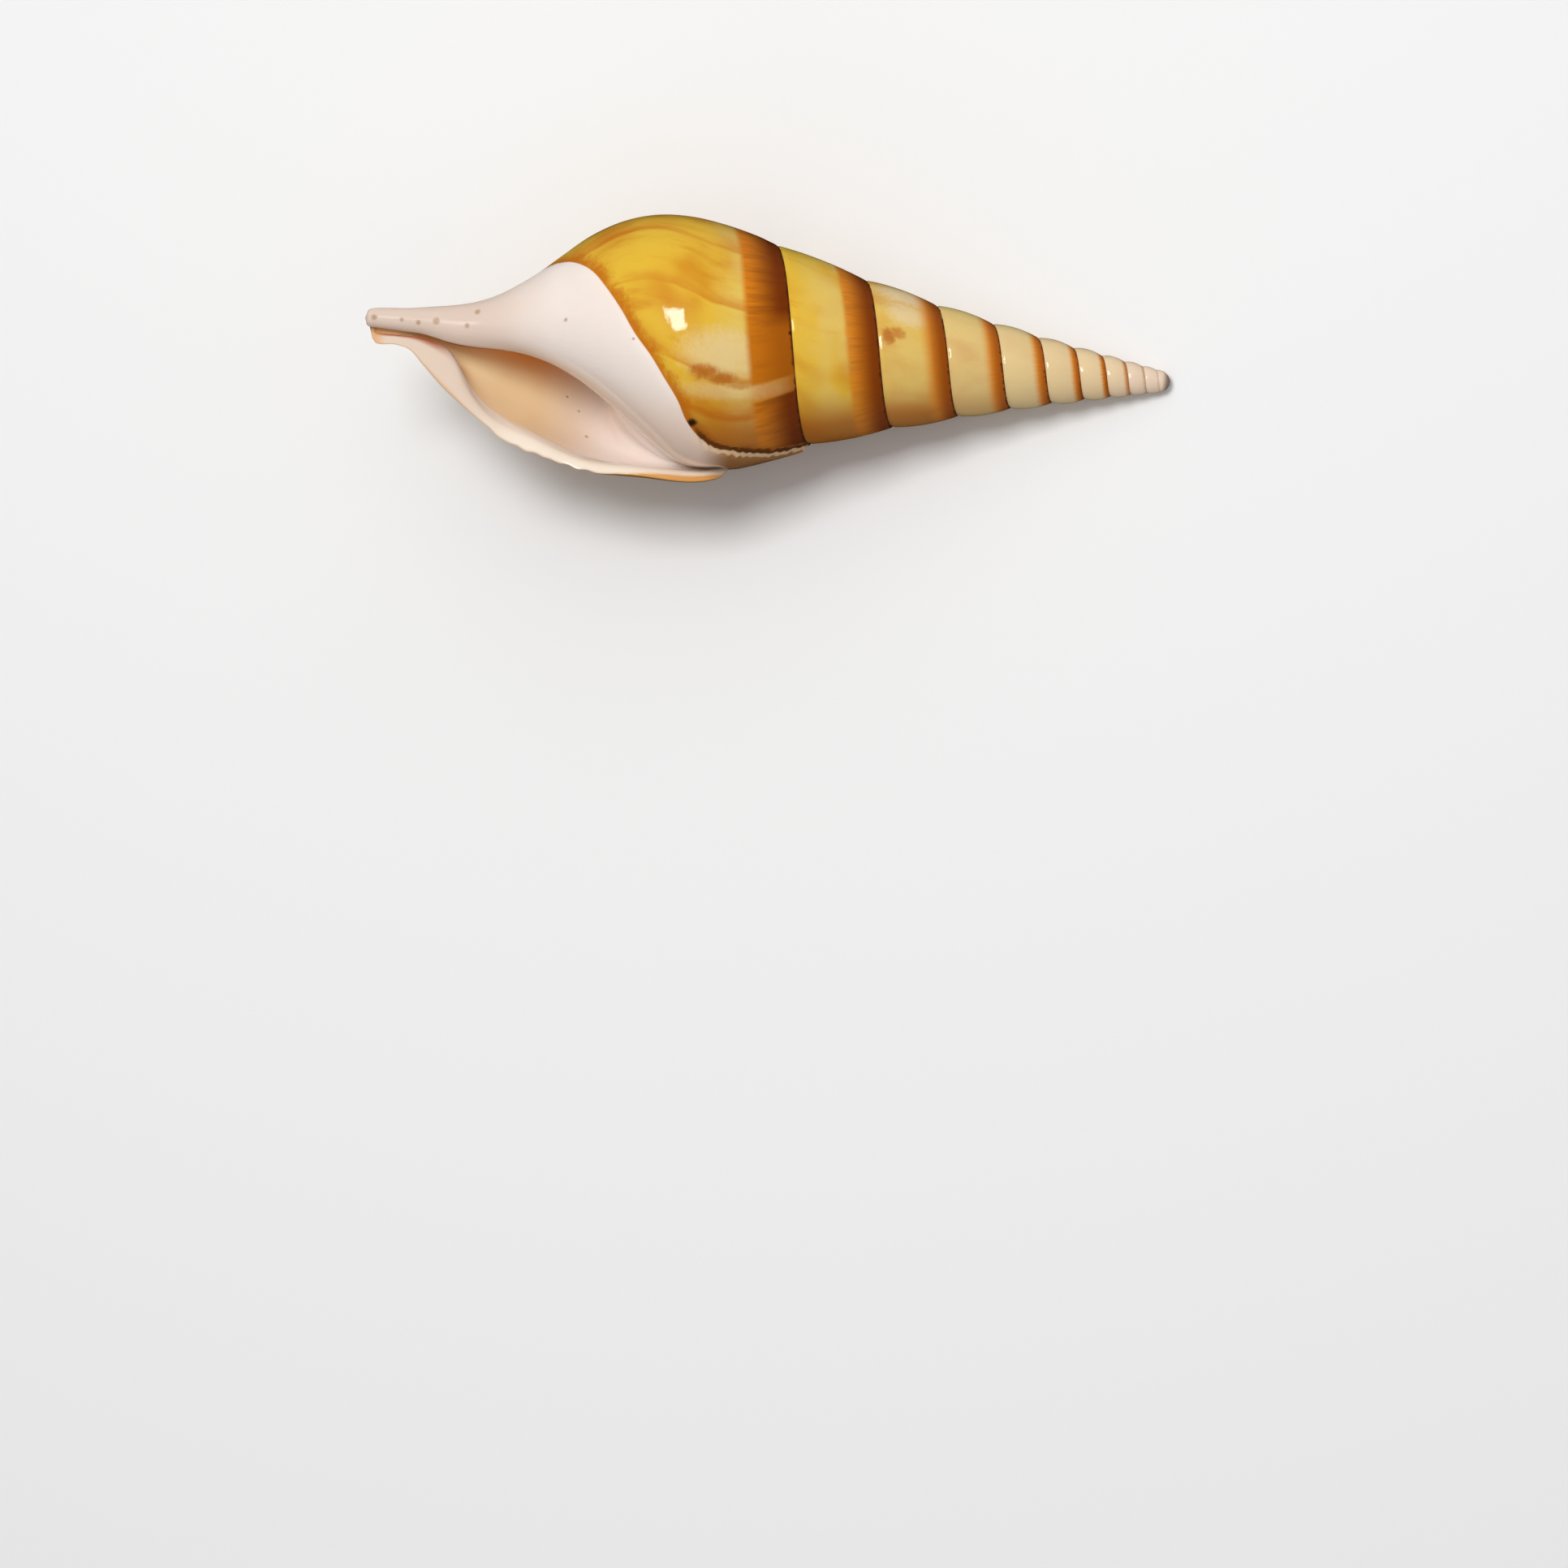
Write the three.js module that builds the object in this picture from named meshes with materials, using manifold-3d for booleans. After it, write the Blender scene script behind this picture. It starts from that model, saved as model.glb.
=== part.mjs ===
// A tibia shell: a tall spire of eleven whorls, an inflated body whorl, a straight open canal at the front
// end and an aperture with a thickened outer lip. It is one grown piece, so it is one closed mesh.
// A point of the shell is given by its station (mm from the tip of the apex along the axis), its radius
// (mm from the axis) and its turn (growth angle; 0, 1, 2... lie on the left flank, later turns are larger).
import * as THREE from "three";
import { mergeVertices } from "three/addons/utils/BufferGeometryUtils.js";
import Module from "manifold-3d";

// Size and spiral
const LENGTH = 150; // tip of the apex to tip of the canal
const GROWTH = 1.26; // each turn is this much larger than the one before
const POLE_TO_SUTURE = 82.5; // from the pole of the spiral to the suture at turn 0
const APEX_TURN = -10.3125; // where the spiral starts
const LIP_TURN = 0.5; // where growth ends, at the outer lip on the right flank
const LAST_SUTURE_SLOPE = 19.06; // mm a turn on the last half turn, where the suture flattens
const LAST_SUTURE_CURVE = 18.4;

// Spire: radius at the suture is a gentle curve of the station, with a rounded tip
const TIP_RADIUS = 1.66;
const SPIRE_SLOPE = 0.155;
const SPIRE_FLARE = 0.001127;
const TIP_ROUNDING = 1.7;
const WHORL_BULGE = 0.62; // how far a whorl stands out between two sutures
const BULGE_REACH = 9; // mm from the apex over which the bulge grows
const BODY_BLEND = 0.15; // turns over which the spire's profile passes into the body whorl's

// Body whorl: radius against station on the right flank behind the aperture, the left flank and the lip
const COLUMELLA_SIDE = [
  [64, 16.5], [72.7, 19.7], [79.8, 21.9], [86.7, 22.8], [90.5, 21.9], [94, 19.6], [98.5, 15.9], [103.5, 11.6],
  [108, 8.2], [112, 6.0], [116, 4.7], [122, 4.0], [130, 4.0], [134, 3.5], [136.5, 2.8], [139.5, 2.1],
  [144, 1.9], [149, 1.65], [150, 1.5],
];
const LEFT_FLANK = [
  [64, 16.2], [74.9, 19.6], [79, 21.1], [85.2, 22.7], [91.4, 23.6], [97.4, 23.4], [103.3, 21.8], [109.2, 18.6],
  [114.8, 14.0], [120.5, 9.1], [126.2, 5.4], [132.1, 3.4], [141, 2.4], [147, 2.1], [150, 1.7],
];
const LIP_SIDE = [
  [64, 16.2], [76, 19.9], [79.8, 22.3], [82, 24.7], [87.4, 25.9], [96.5, 25.5], [105.6, 25.3], [111.8, 23.9],
  [121.1, 21.3], [127.4, 17.2], [133.9, 12.4], [138.6, 7.9], [141.2, 5.3], [144, 4.5], [148.1, 4.3],
  [149, 1.65], [150, 1.5],
];
const THINNEST = 1.2; // mm, least radius of the canal
const SLIT_END = 149; // station where the slit of the canal ends, just before its blunt tip
const TIP_STATION = 149.6; // station of the rounded ring at the tip of the canal
const TIP_SHARE = 0.8; // its radius as a share of the canal's
const SUTURE_STEP_REACH = 3; // mm over which the body whorl swells from its suture
const LIP_RISE = 0.7; // mm by which the lip climbs on the whorl before it
const LIP_BELLY = 15; // how far past the last suture the first rows reach at the lip

// Inner edge of the outer lip: its rim widens to a fold where the canal begins
const LIP_INNER_EDGE = [
  [79, 22.3], [83, 22.9], [87, 23.4], [92, 23.4], [105.6, 23.0], [110.4, 22.0], [118.2, 19.1], [122, 17.8],
  [125.9, 15.7], [128.8, 12.9], [130.7, 10.2], [132.3, 7.0], [133.8, 4.9], [136, 3.7], [139.5, 2.8], [144, 2.7],
  [148, 2.5], [149, 1.65], [150, 1.5],
];
const LIP_SWEEP = 0.022; // turns by which the rear of the lip curls forward
const LIP_SWEEP_TURNS = 0.2; // over which the curl sets in
const LIP_SWEEP_START = [80, 84]; // stations between which the curl rises
const LIP_SWEEP_END = [96, 112]; // and between which it is gone again
const LIP_THICKENING = 0.12; // turns behind the lip over which its wall thickens
const RIM_ROUNDING = 0.004; // turns by which the middle of the rim stands forward of its edges

// Aperture and cavity
const CANAL_THICKNESS = 1.1; // along the canal
const CANAL_START = [125, 142]; // stations between which the wall thins to that of the canal
const WALL_THICKNESS = 1.5; // deep inside
const CAVITY_TURNS = 2; // how far the cavity runs back from the lip
const CAVITY_END_NARROWING = 0.5; // turns over which its blind end closes
const CAVITY_MIDDLE = 105; // station where the cavity is widest at the lip
const DEEP_GAP = 1.5; // mm, the narrowest the cavity gets deep inside
const MOUTH_GAP = 0.3; // and near the lip
const GAP_TURNS = [0.1, 0.3]; // turns behind the lip between which one passes into the other
const FLOOR_LENGTH = 22; // mm by which the rear of the aperture is floored, in front of its corner
const FLOOR_TURNS = 0.05; // turns behind the lip over which that floor drops away
const FLOOR_END = [0.25, 0.5]; // turns behind the lip between which it gives way to the open whorl
const SCAN_STEP = 0.25; // mm, how finely the ends of the cavity are found

// Rest: the shell lies on its back, on a small flat spot
const REST_ROLL = 0; // degrees about the axis
const REST_PITCH = 14.4; // degrees, apex down
const FLAT_DEPTH = 0.35; // mm worn off the belly

// Mesh density
const COLUMNS = 32; // in each turn
const SPIRE_ROWS = 5; // from one suture to the next
const BODY_ROWS = 22; // from there to the end of the slit
const RIM_ROWS = 2; // across the edge of the lip
const ROW_CROWDING = { whorl: 0.6, body: 1.25, rim: 1.3 }; // powers that gather rows where the form bends
const SEEN_TURNS = 0.375; // the cavity has every column this far back, and every second one after that

// A smooth curve through points, as a function of the first coordinate
function curveThrough(points) {
  const slopes = points.map((point, i) => {
    const before = points[Math.max(i - 1, 0)];
    const after = points[Math.min(i + 1, points.length - 1)];
    return (after[1] - before[1]) / (after[0] - before[0]);
  });
  return (x) => {
    let i = 0;
    while (i < points.length - 2 && x > points[i + 1][0]) i++;
    const width = points[i + 1][0] - points[i][0];
    const s = THREE.MathUtils.clamp((x - points[i][0]) / width, 0, 1);
    const start = points[i][1] * (1 + 2 * s) * (1 - s) ** 2 + slopes[i] * width * s * (1 - s) ** 2;
    const end = points[i + 1][1] * s * s * (3 - 2 * s) - slopes[i + 1] * width * s * s * (1 - s);
    return start + end;
  };
}

const columellaSide = curveThrough(COLUMELLA_SIDE);
const leftFlank = curveThrough(LEFT_FLANK);
const lipSide = curveThrough(LIP_SIDE);
const lipInnerEdge = curveThrough(LIP_INNER_EDGE);
const smoothstep = THREE.MathUtils.smoothstep;
const lerp = THREE.MathUtils.lerp;
const POLE_OFFSET = POLE_TO_SUTURE * GROWTH ** APEX_TURN; // from the pole to the tip of the apex

// Station of the suture at a turn
function sutureStation(turn) {
  if (turn <= APEX_TURN) return 0;
  if (turn <= 0) return POLE_TO_SUTURE * GROWTH ** turn - POLE_OFFSET;
  return POLE_TO_SUTURE - POLE_OFFSET + LAST_SUTURE_SLOPE * turn - LAST_SUTURE_CURVE * turn * turn;
}

// Radius of the spire's sutures at a station
function spireRadius(station) {
  const rounding = Math.sqrt(1 - (1 - Math.min(station / TIP_ROUNDING, 1)) ** 2);
  return (TIP_RADIUS + SPIRE_SLOPE * station + SPIRE_FLARE * station * station) * rounding;
}

// Radius of the body whorl, between its three known profiles
function bodyRadius(station, turn) {
  const s = turn / LIP_TURN;
  const behind = (s * (s - 1)) / 2;
  const flank = 1 - s * s;
  const lip = (s * (s + 1)) / 2;
  const between = behind * columellaSide(station) + flank * leftFlank(station) + lip * lipSide(station);
  return Math.max(between, THINNEST);
}

const LAST_SUTURE = sutureStation(LIP_TURN);
const SLIT_ROW = SPIRE_ROWS + BODY_ROWS;
const LAST_ROW = SLIT_ROW + 1;

// Station of a row at a turn; rows below SPIRE_ROWS lie between two sutures
function rowStation(turn, row) {
  const start = sutureStation(turn);
  const body = THREE.MathUtils.clamp(turn - LIP_TURN + 1, 0, 1);
  const next = turn <= LIP_TURN - 1 ? sutureStation(turn + 1) : LAST_SUTURE + LIP_BELLY * body;
  if (row <= SPIRE_ROWS) return lerp(start, next, (row / SPIRE_ROWS) ** (1 + ROW_CROWDING.whorl * body));
  if (row > SLIT_ROW) return TIP_STATION;
  return lerp(next, SLIT_END, ((row - SPIRE_ROWS) / BODY_ROWS) ** ROW_CROWDING.body);
}

// Outer radius of a row at a turn
function rowRadius(turn, row) {
  const station = rowStation(turn, row);
  const inWhorl = row / SPIRE_ROWS;
  const bulge = WHORL_BULGE * (1 - Math.exp(-station / BULGE_REACH)) * 4 * inWhorl * (1 - inWhorl);
  const spire = spireRadius(station) + Math.max(bulge, 0);
  const bodyShare = smoothstep(turn, LIP_TURN - 1 - BODY_BLEND, LIP_TURN - 1);
  if (bodyShare === 0) return spire;
  if (turn < LIP_TURN - 1) return lerp(spire, bodyRadius(station, LIP_TURN - 1), bodyShare);
  const start = sutureStation(turn);
  const atSuture = spireRadius(start) + LIP_RISE * Math.max(turn / LIP_TURN, 0) ** 2;
  const step = turn > LIP_TURN - 1 ? atSuture - bodyRadius(start, turn) : 0;
  const swelling = step * Math.exp(-(station - start) / SUTURE_STEP_REACH);
  return (bodyRadius(station, turn) + swelling) * (row > SLIT_ROW ? TIP_SHARE : 1);
}

// Thickness of the outer wall
function wallThickness(turn, station) {
  const atLip = lipSide(station) - lipInnerEdge(station);
  const inside = lerp(WALL_THICKNESS, CANAL_THICKNESS, smoothstep(station, ...CANAL_START));
  return lerp(inside, atLip, smoothstep(turn, LIP_TURN - LIP_THICKENING, LIP_TURN));
}

// How far the wall curls forward near the rear of the lip, in turns
function lipSweep(turn, station) {
  const along = smoothstep(station, ...LIP_SWEEP_START) - smoothstep(station, ...LIP_SWEEP_END);
  return LIP_SWEEP * along * smoothstep(turn, LIP_TURN - LIP_SWEEP_TURNS, LIP_TURN);
}

// Vertices and faces of the whole surface
const vertices = [];
const faces = [];

function addVertex(station, radius, turn, onWall = 1) {
  const angle = 2 * Math.PI * (turn + onWall * lipSweep(turn, station));
  vertices.push([-station, radius * Math.cos(angle), -radius * Math.sin(angle)]);
  return vertices.length - 1;
}

// Corners are given clockwise as seen from outside, and stored the other way round
function addTriangle(a, b, c) {
  if (a !== b && b !== c && a !== c) faces.push([a, c, b]);
}

function addQuad(a, b, c, d) {
  addTriangle(a, b, c);
  addTriangle(a, c, d);
}

// Outer surface: one long strip that winds down from the apex, each turn joined to the next at the suture
const turns = LIP_TURN - APEX_TURN;
const lastColumn = Math.round((turns + 1) * COLUMNS);
const outer = [];
const apexPoint = addVertex(0, 0, 0);
for (let column = 0; column <= lastColumn; column++) {
  outer.push([]);
  const turn = APEX_TURN - 1 + column / COLUMNS;
  const open = column >= lastColumn - COLUMNS;
  for (let row = 0; row <= (open ? LAST_ROW : SPIRE_ROWS); row++) {
    if (turn <= APEX_TURN && (row === 0 || column === 0)) outer[column][row] = apexPoint;
    else if (row === 0) outer[column][row] = outer[column - COLUMNS][SPIRE_ROWS];
    else if (column === lastColumn && row >= SLIT_ROW) outer[column][row] = outer[column - COLUMNS][row];
    else outer[column][row] = addVertex(rowStation(turn, row), rowRadius(turn, row), turn);
  }
}
for (let column = 0; column < lastColumn; column++) {
  const rows = Math.min(outer[column].length, outer[column + 1].length) - 1;
  for (let row = 0; row < rows; row++) {
    const near = outer[column];
    const far = outer[column + 1];
    addQuad(near[row], near[row + 1], far[row + 1], far[row]);
  }
}

// Blunt tip of the canal
const canalTip = addVertex(LENGTH, 0, 0);
for (let column = lastColumn - COLUMNS; column < lastColumn; column++) {
  addTriangle(outer[column][LAST_ROW], canalTip, outer[column + 1][LAST_ROW]);
}

// Edge of the outer lip: rounded across, from the outer surface to the inner edge
const lipEdge = outer[lastColumn];
const innerSide = outer[lastColumn - COLUMNS];
const cornerRow = SPIRE_ROWS + RIM_ROWS;
const rim = [];
for (let row = 0; row <= SLIT_ROW; row++) {
  rim.push([lipEdge[row]]);
  const station = rowStation(LIP_TURN, row);
  for (let step = 1; step <= RIM_ROWS; step++) {
    const share = step / RIM_ROWS;
    if (row === 0) rim[row].push(innerSide[SPIRE_ROWS + step]);
    else if (row === SLIT_ROW) rim[row].push(lipEdge[row]);
    else {
      const cornerStation = rowStation(LIP_TURN - 1, SPIRE_ROWS + step);
      const along = (row / SLIT_ROW) ** ROW_CROWDING.rim;
      const innerStation = Math.max(station, lerp(cornerStation, SLIT_END, along));
      const radius = lerp(rowRadius(LIP_TURN, row), lipInnerEdge(innerStation), share);
      const rounded = RIM_ROUNDING * Math.sin(Math.PI * share);
      rim[row].push(addVertex(lerp(station, innerStation, share), radius, LIP_TURN + rounded));
    }
  }
}
for (let row = 0; row < SLIT_ROW; row++) {
  for (let step = 0; step < RIM_ROWS; step++) {
    addQuad(rim[row][step], rim[row + 1][step], rim[row + 1][step + 1], rim[row][step + 1]);
  }
}

// Cavity: loops in half planes through the axis, between the outer wall and the whorl inside it
function innerWhorlRadius(station, turn) {
  const scale = GROWTH ** (turn - LIP_TURN);
  return scale * columellaSide((station + POLE_OFFSET) / scale - POLE_OFFSET);
}

function outerWallRadius(station, turn) {
  if (turn > LIP_TURN - 1) return bodyRadius(station, turn) - wallThickness(turn, station);
  return Math.min(spireRadius(station), innerWhorlRadius(station, turn + 1)) - WALL_THICKNESS;
}

// Stations between which the cavity is open at a turn
function cavityReach(turn) {
  const middle = (CAVITY_MIDDLE + POLE_OFFSET) * GROWTH ** (turn - LIP_TURN) - POLE_OFFSET;
  const [near, far] = GAP_TURNS;
  const gap = lerp(DEEP_GAP, MOUTH_GAP, smoothstep(turn, LIP_TURN - far, LIP_TURN - near));
  const open = (station) => outerWallRadius(station, turn) - innerWhorlRadius(station, turn) > gap;
  let first = middle;
  while (first - SCAN_STEP > sutureStation(turn) + 1 && open(first - SCAN_STEP)) first -= SCAN_STEP;
  let last = middle;
  while (last + SCAN_STEP < SLIT_END && open(last + SCAN_STEP)) last += SCAN_STEP;
  const back = LIP_TURN - turn;
  const floor = loopStart + FLOOR_LENGTH * (1 - Math.exp(-back / FLOOR_TURNS));
  return [lerp(Math.max(first, floor), first, smoothstep(back, ...FLOOR_END)), last];
}

const loopStart = rowStation(LIP_TURN - 1, cornerRow);
const lipLoop = [];
for (let row = 0; row <= SLIT_ROW; row++) lipLoop.push(rim[row][RIM_ROWS]);
for (let row = SLIT_ROW - 1; row > cornerRow; row--) lipLoop.push(innerSide[row]);
const loopShare = (index) => (-vertices[index][0] - loopStart) / (SLIT_END - loopStart);
let loop = lipLoop;
let back = 0; // turns back from the lip
while (back < CAVITY_TURNS) {
  back += back < SEEN_TURNS ? 1 / COLUMNS : 2 / COLUMNS;
  const turn = LIP_TURN - back;
  const [first, last] = cavityReach(turn);
  const toEnd = (CAVITY_TURNS - back) / CAVITY_END_NARROWING;
  const width = Math.sqrt(1 - (1 - Math.min(toEnd + 0.02, 1)) ** 2);
  const next = lipLoop.map((index, i) => {
    const share = THREE.MathUtils.clamp(loopShare(index), 0, 1);
    const station = lerp((first + last) / 2, lerp(first, last, share), lerp(0.5, 1, width));
    const inside = innerWhorlRadius(station, turn);
    const outside = Math.max(outerWallRadius(station, turn), inside);
    const onWall = i > 0 && i < SLIT_ROW;
    const side = i === 0 || i === SLIT_ROW ? 0.5 : onWall ? 1 : 0;
    return addVertex(station, lerp(inside, outside, 0.5 + (side - 0.5) * width), turn, side);
  });
  for (let i = 0; i < loop.length; i++) {
    const j = (i + 1) % loop.length;
    addQuad(loop[i], loop[j], next[j], next[i]);
  }
  loop = next;
}
const centre = new THREE.Vector3();
for (const index of loop) centre.add(new THREE.Vector3(...vertices[index]).divideScalar(loop.length));
vertices.push(centre.toArray());
for (let i = 0; i < loop.length; i++) {
  addTriangle(loop[i], loop[(i + 1) % loop.length], vertices.length - 1);
}

// Solids for the boolean that wears the flat spot
const wasm = await Module();
wasm.setup();

function solidOf(geometry) {
  const bare = geometry.clone();
  bare.deleteAttribute("normal");
  bare.deleteAttribute("uv");
  const merged = mergeVertices(bare, 1e-4);
  return new wasm.Manifold(
    new wasm.Mesh({
      numProp: 3,
      vertProperties: merged.attributes.position.array,
      triVerts: new Uint32Array(merged.index.array),
    }),
  );
}

function geometryOf(solid) {
  const mesh = solid.getMesh();
  const geometry = new THREE.BufferGeometry();
  geometry.setAttribute("position", new THREE.BufferAttribute(Float32Array.from(mesh.vertProperties), 3));
  geometry.setIndex(new THREE.BufferAttribute(Uint32Array.from(mesh.triVerts), 1));
  geometry.computeVertexNormals();
  return geometry;
}

// The shell lies down on its back, loses the flat spot and stands on it
const grown = new THREE.BufferGeometry();
grown.setAttribute("position", new THREE.BufferAttribute(Float32Array.from(vertices.flat()), 3));
grown.setIndex(new THREE.BufferAttribute(Uint32Array.from(faces.flat()), 1));
grown.rotateX(THREE.MathUtils.degToRad(REST_ROLL));
grown.rotateY(THREE.MathUtils.degToRad(REST_PITCH));
grown.computeBoundingBox();
const box = grown.boundingBox;
grown.translate(-(box.min.x + box.max.x) / 2, -(box.min.y + box.max.y) / 2, -box.min.z - FLAT_DEPTH);
const ground = new THREE.BoxGeometry(2 * LENGTH, 2 * LENGTH, LENGTH);
ground.translate(0, 0, -LENGTH / 2);
const worn = geometryOf(solidOf(grown).subtract(solidOf(ground)));

const shell = new THREE.Mesh(
  worn,
  new THREE.MeshStandardMaterial({ color: 0xdcb070, roughness: 0.28, metalness: 0 }),
);
shell.name = "shell";

const group = new THREE.Group();
group.add(shell);
export default group;
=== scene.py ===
"""A tibia shell on a pale floor, seen from above with its aperture up.

The shell is one grown surface. A point of it has a station (mm from the tip of the apex along the axis),
a radius (mm from the axis) and a turn (growth angle: whole turns lie on the left flank, later turns are
larger). The mesh carries those numbers on its corners, and the material draws the markings from them.
"""
import math

import bpy
import numpy as np
from mathutils import Matrix, Vector


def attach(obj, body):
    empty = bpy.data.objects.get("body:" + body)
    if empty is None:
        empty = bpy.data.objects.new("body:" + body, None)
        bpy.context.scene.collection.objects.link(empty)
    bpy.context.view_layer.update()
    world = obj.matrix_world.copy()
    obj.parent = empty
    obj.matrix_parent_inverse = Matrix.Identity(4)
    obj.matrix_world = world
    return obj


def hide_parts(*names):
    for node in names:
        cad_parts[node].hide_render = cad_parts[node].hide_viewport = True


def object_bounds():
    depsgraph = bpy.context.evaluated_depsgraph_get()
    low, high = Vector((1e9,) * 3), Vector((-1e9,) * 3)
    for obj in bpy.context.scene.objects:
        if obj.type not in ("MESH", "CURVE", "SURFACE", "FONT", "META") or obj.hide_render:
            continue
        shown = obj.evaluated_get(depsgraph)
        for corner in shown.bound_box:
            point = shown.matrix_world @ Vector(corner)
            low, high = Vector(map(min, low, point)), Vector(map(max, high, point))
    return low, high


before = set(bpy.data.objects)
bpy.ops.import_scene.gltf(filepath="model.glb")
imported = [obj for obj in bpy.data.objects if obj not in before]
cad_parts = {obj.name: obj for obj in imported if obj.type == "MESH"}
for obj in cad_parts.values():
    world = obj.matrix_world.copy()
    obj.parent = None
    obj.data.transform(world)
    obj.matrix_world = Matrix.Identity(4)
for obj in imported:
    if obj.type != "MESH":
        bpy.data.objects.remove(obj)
CAD_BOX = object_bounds()

# Size and spiral, in mm and turns
MM = 0.001
LENGTH = 150  # tip of the apex to tip of the canal
GROWTH = 1.26  # each turn is this much larger than the one before
POLE_TO_SUTURE = 82.5  # from the pole of the spiral to the suture at turn 0
APEX_TURN = -10.3125  # where the spiral starts
LIP_TURN = 0.5  # where growth ends, at the outer lip on the right flank
FREE_TURN = LIP_TURN - 1  # from here on no later whorl covers the shell
LAST_SUTURE_SLOPE = 19.06  # mm a turn on the last half turn, where the suture flattens
LAST_SUTURE_CURVE = 18.4

# Spire: radius at the suture is a gentle curve of the station, with a rounded tip
TIP_RADIUS = 1.66
SPIRE_SLOPE = 0.155
SPIRE_FLARE = 0.001127
TIP_ROUNDING = 1.7
WHORL_BULGE = 0.62  # how far a whorl stands out between two sutures
BULGE_REACH = 9  # mm from the apex over which the bulge grows
BODY_BLEND = 0.15  # turns over which the spire's profile passes into the body whorl's
SUTURE_DEPTH = 0.2
SUTURE_WIDTH = 0.32
SUTURE_CHIPPING = 0.45  # how much its depth varies
UNEVENNESS = 0.05  # mm, of the growth
UNEVEN_START = (4, 20)  # stations between which it sets in
UNEVEN_END = (135, 120)  # and, from the canal, the same
FULL_SIZE_STATION = 45  # from which grooves and unevenness have their full size
LEAST_SIZE = 0.15  # and their share of it at the apex

# Body whorl: radius against station on the right flank behind the aperture, the left flank and the lip
COLUMELLA_SIDE = [
    (64, 16.5), (72.7, 19.7), (79.8, 21.9), (86.7, 22.8), (90.5, 21.9), (94, 19.6), (98.5, 15.9),
    (103.5, 11.6), (108, 8.2), (112, 6.0), (116, 4.7), (122, 4.0), (130, 4.0), (134, 3.5), (136.5, 2.8),
    (139.5, 2.1), (144, 1.9), (149, 1.65), (150, 1.5),
]
LEFT_FLANK = [
    (64, 16.2), (74.9, 19.6), (79, 21.1), (85.2, 22.7), (91.4, 23.6), (97.4, 23.4), (103.3, 21.8),
    (109.2, 18.6), (114.8, 14.0), (120.5, 9.1), (126.2, 5.4), (132.1, 3.4), (141, 2.4), (147, 2.1),
    (150, 1.7),
]
LIP_SIDE = [
    (64, 16.2), (76, 19.9), (79.8, 22.3), (82, 24.7), (87.4, 25.9), (96.5, 25.5), (105.6, 25.3),
    (111.8, 23.9), (121.1, 21.3), (127.4, 17.2), (133.9, 12.4), (138.6, 7.9), (141.2, 5.3), (144, 4.5),
    (148.1, 4.3), (149, 1.65), (150, 1.5),
]
LIP_INNER_EDGE = [
    (79, 22.3), (83, 22.9), (87, 23.4), (92, 23.4), (105.6, 23.0), (110.4, 22.0), (118.2, 19.1),
    (122, 17.8), (125.9, 15.7), (128.8, 12.9), (130.7, 10.2), (132.3, 7.0), (133.8, 4.9), (136, 3.7),
    (139.5, 2.8), (144, 2.7), (148, 2.5), (149, 1.65), (150, 1.5),
]
THINNEST = 1.2  # mm, least radius of the canal
SLIT_END = 149  # station where the slit of the canal ends, just before its blunt tip
TIP_STATION = 149.6  # station of the rounded ring at the tip of the canal
TIP_SHARE = 0.8  # its radius as a share of the canal's
SUTURE_STEP_REACH = 3  # mm over which the body whorl swells from its suture
LIP_RISE = 0.7  # mm by which the lip climbs on the whorl before it
LIP_BELLY = 15  # how far past the last suture the first rows reach at the lip
LIP_SWEEP = 0.022  # turns by which the rear of the lip curls forward
LIP_SWEEP_TURNS = 0.2  # over which the curl sets in
LIP_SWEEP_START = (80, 84)  # stations between which the curl rises
LIP_SWEEP_END = (96, 112)  # and between which it is gone again
LIP_THICKENING = 0.12  # turns behind the lip over which its wall thickens
RIM_ROUNDING = 0.018  # turns by which the rim's inner edge lies back
RIM_WORN = 0.42  # share of the rim's width that is worn down to its ochre layer
RIM_WORN_START = (79, 84)  # stations between which the wear sets in
RIM_WORN_END = (90, 103)  # and between which it is gone again
RIM_CALLUS = 2  # mm that the callus data grow by across the rim
RIM_CALLUS_START = 0.06  # and where they start, at its outer edge
RIM_BELOW = 14  # mm below the suture, the least that the rim's data say, so that no band crosses it
RIPPLE = 0.22  # mm, of the chipped edge of the lip
RIPPLE_TURNS = 0.06  # behind the lip over which it sets in
RIPPLE_START = (97, 104)  # stations between which it rises
RIPPLE_END = (122, 129)  # and between which it is gone again

# Aperture and cavity
CANAL_THICKNESS = 1.1  # along the canal
CANAL_START = (125, 142)  # stations between which the wall thins to that of the canal
WALL_THICKNESS = 1.5  # deep inside
CAVITY_TURNS = 2  # how far the cavity runs back from the lip
CAVITY_END_NARROWING = 0.5  # turns over which its blind end closes
CAVITY_MIDDLE = 105  # station where the cavity is widest at the lip
DEEP_GAP = 1.5  # mm, the narrowest the cavity gets deep inside
MOUTH_GAP = 0.3  # and near the lip
GAP_TURNS = (0.1, 0.3)  # turns behind the lip between which one passes into the other
FLOOR_LENGTH = 22  # mm by which the rear of the aperture is floored, in front of its corner
FLOOR_TURNS = 0.05  # turns behind the lip over which that floor drops away
FLOOR_END = (0.25, 0.5)  # turns behind the lip between which it gives way to the open whorl
SCAN_STEP = 0.25  # mm, how finely the ends of the cavity are found

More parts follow.
